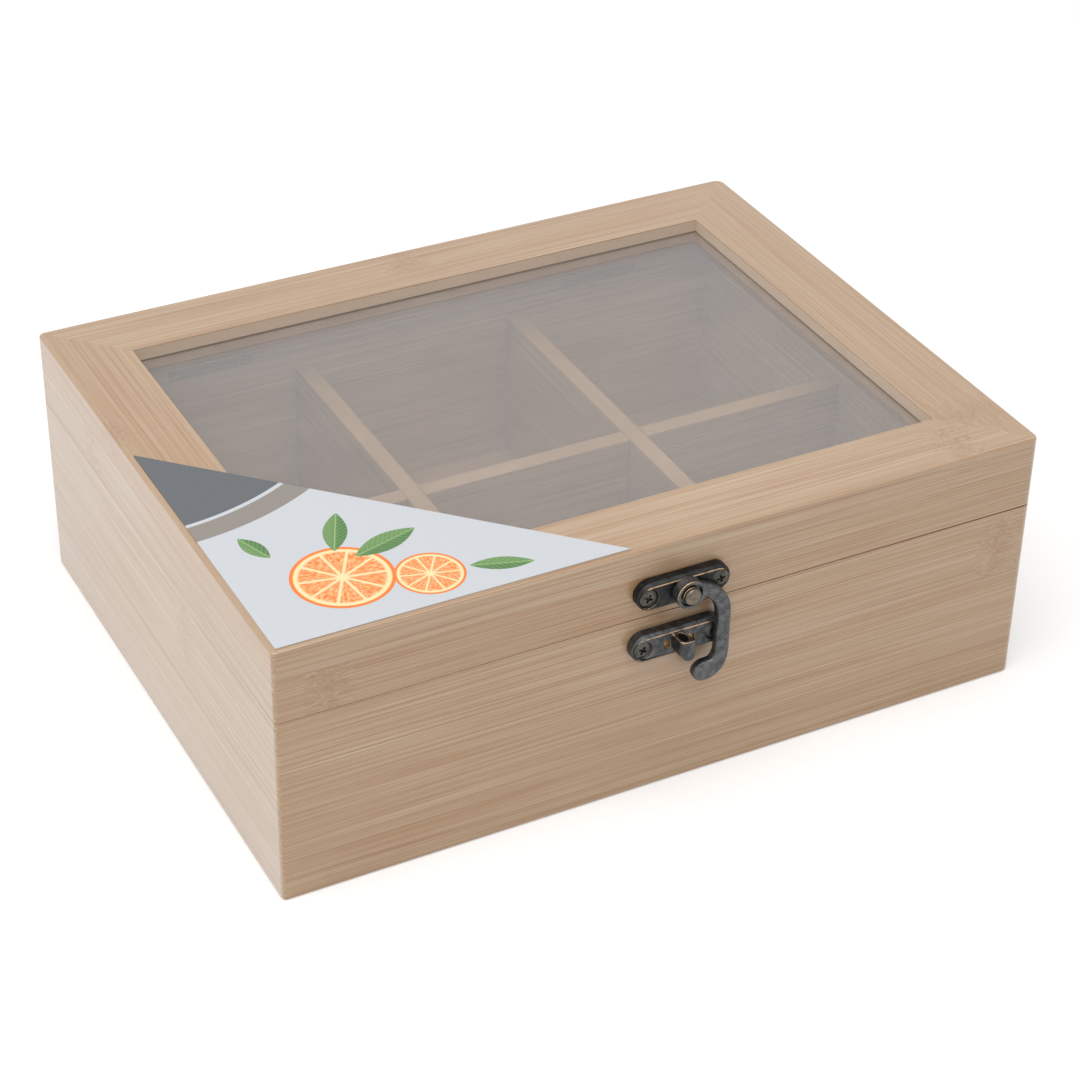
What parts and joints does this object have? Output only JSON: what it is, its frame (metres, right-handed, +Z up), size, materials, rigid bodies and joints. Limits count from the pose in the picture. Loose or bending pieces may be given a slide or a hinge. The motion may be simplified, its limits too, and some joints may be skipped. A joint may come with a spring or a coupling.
{
  "type": "tea bag organizer box",
  "caption": "Low bamboo box with a mitred glass-framed lid on rear butt hinges, a swing-hook latch in front and half-lapped dividers that part it for tea bags.",
  "frame": {"origin": "centre of the flat underside, which is the bottom panel's lower face", "axes": "+X along the front to the right as the user faces the latch, +Y from front to back, +Z up"},
  "size_m": [0.21, 0.1694, 0.0733],
  "materials": {
    "bamboo_box": "fine sanded bamboo with a thin satin lacquer, grain along each board",
    "bamboo_skirt": "fine sanded bamboo with a thin satin lacquer, grain along each board",
    "bamboo_frame": "fine sanded bamboo with a thin satin lacquer, grain along each rail",
    "bamboo_inside": "sanded bamboo strip, bare",
    "clear_glass": "clear float glass",
    "hinge_metal": "antique brown plated steel",
    "aged_bronze": "dark antique bronze plating, worn golden along the edges",
    "screw_metal": "dark antique bronze plating",
    "printed_card": "smooth coated card, printed"
  },
  "bodies": {
    "box": {"front_wall": "bamboo_box", "back_wall": "bamboo_box", "left_wall": "bamboo_box", "right_wall": "bamboo_box", "bottom_panel": "bamboo_inside", "long_divider": "bamboo_inside", "cross_divider_left": "bamboo_inside", "cross_divider_right": "bamboo_inside", "hinge_box_leaf_left": "hinge_metal", "hinge_box_leaf_right": "hinge_metal", "hinge_pin_left": "hinge_metal", "hinge_pin_right": "hinge_metal", "hinge_box_screws": "hinge_metal", "catch_plate": "aged_bronze", "catch_plate_screws": "screw_metal"},
    "lid": {"skirt_front": "bamboo_skirt", "skirt_back": "bamboo_skirt", "skirt_left": "bamboo_skirt", "skirt_right": "bamboo_skirt", "rail_front": "bamboo_frame", "rail_back": "bamboo_frame", "rail_left": "bamboo_frame", "rail_right": "bamboo_frame", "glass_pane": "clear_glass", "hinge_lid_leaf_left": "hinge_metal", "hinge_lid_leaf_right": "hinge_metal", "hinge_lid_screws": "hinge_metal", "hook_plate": "aged_bronze", "hook_plate_screws": "screw_metal", "hook_rivet": "aged_bronze", "label_card": "printed_card"},
    "hook": {"swing_hook": "aged_bronze"}
  },
  "joints": [
    {"name": "lid_hinge", "type": "hinge", "parent": "box", "child": "lid", "pos_m": [0, 0.079, 0.0545], "axis": [-1, 0, 0], "range_deg": [0, 105]},
    {"name": "hook_swing", "type": "hinge", "parent": "lid", "child": "hook", "pos_m": [0.0005, -0.0849, 0.0605], "axis": [0, -1, 0], "range_deg": [-27, 180]}
  ]
}
